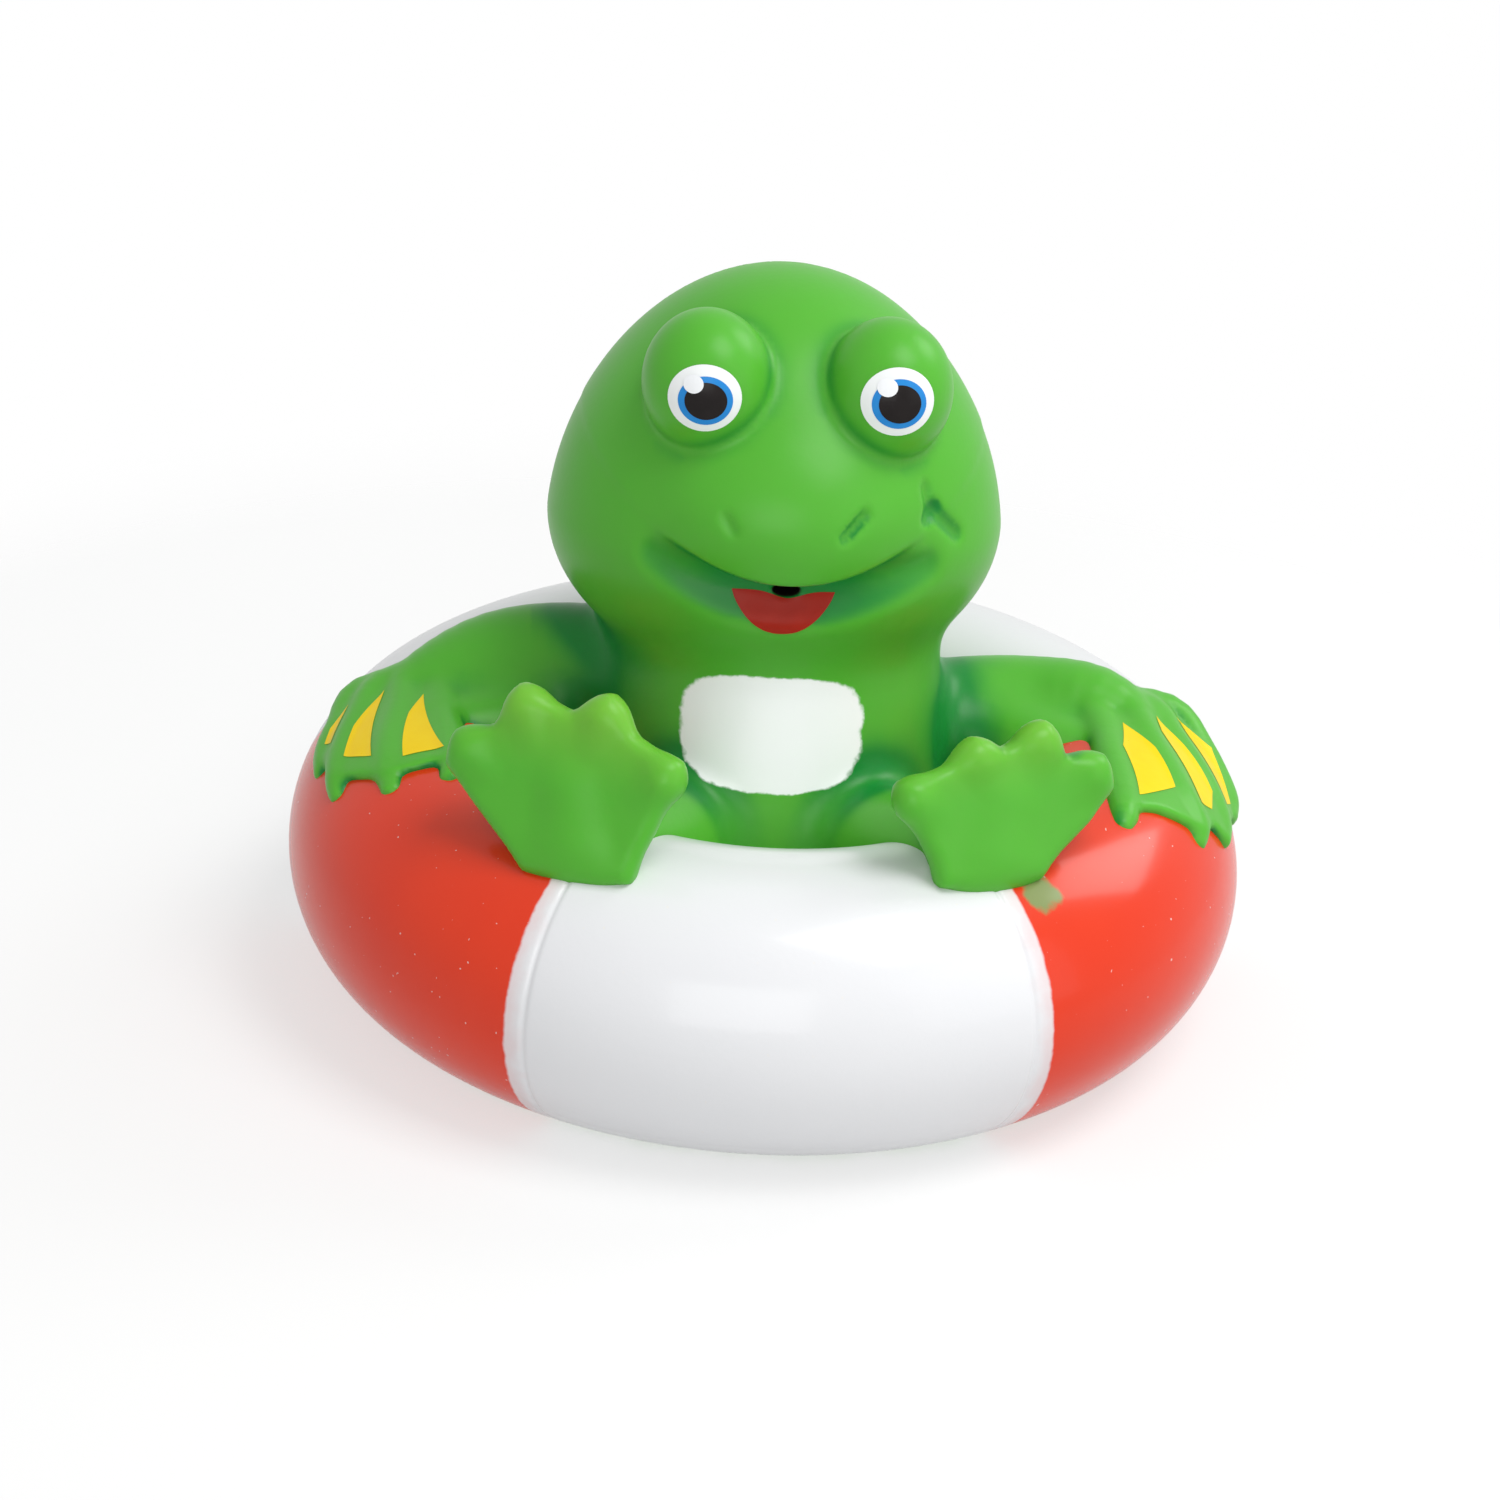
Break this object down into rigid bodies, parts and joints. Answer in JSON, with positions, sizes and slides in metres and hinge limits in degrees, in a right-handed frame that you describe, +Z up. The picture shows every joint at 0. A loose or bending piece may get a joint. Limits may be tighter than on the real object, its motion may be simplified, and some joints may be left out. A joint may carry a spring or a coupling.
{
  "type": "floating pool thermometer",
  "caption": "Soft vinyl frog lounging in a life ring; it floats, squirts from the mouth and carries a thermometer that slides down out of its base into the water.",
  "frame": {"origin": "middle of the ring on the surface that the ring stands on", "axes": "+Z up, the frog faces -Y, +X is to the right of someone who looks at its face"},
  "size_m": [0.1, 0.1, 0.0761],
  "materials": {
    "vinyl": "satin",
    "socket_plastic": "satin",
    "gasket_rubber": "matte",
    "ring_rubber": "satin",
    "stop_plastic": "satin",
    "ballast_steel": "satin",
    "clear_tube": "gloss",
    "collar_plastic": "satin",
    "cap_plastic": "satin",
    "foam": "matte",
    "stem_glass": "gloss",
    "spirit": "gloss",
    "card": "matte",
    "clip_plastic": "satin"
  },
  "bodies": {
    "float": {"float_figure": "vinyl", "thermometer_socket": "socket_plastic", "socket_gasket": "gasket_rubber", "stop_ring": "stop_plastic", "ballast_ring": "ballast_steel"},
    "runner": {"friction_ring": "ring_rubber"},
    "thermometer": {"thermometer_tube": "clear_tube", "tube_collar": "collar_plastic", "grip_cap": "cap_plastic", "bulb_cushion": "foam", "top_cushion": "foam", "glass_stem": "stem_glass", "spirit_column": "spirit", "scale_card": "card", "lower_clip": "clip_plastic", "upper_clip": "clip_plastic"}
  },
  "joints": [
    {"name": "thermometer_slide", "type": "slide", "parent": "float", "child": "runner", "axis": [0, 0, -1], "range_m": [0, 0.0407]},
    {"name": "thermometer_turn", "type": "hinge", "parent": "runner", "child": "thermometer", "pos_m": [0, 0, 0.035], "axis": [0, 0, 1], "continuous": true}
  ]
}
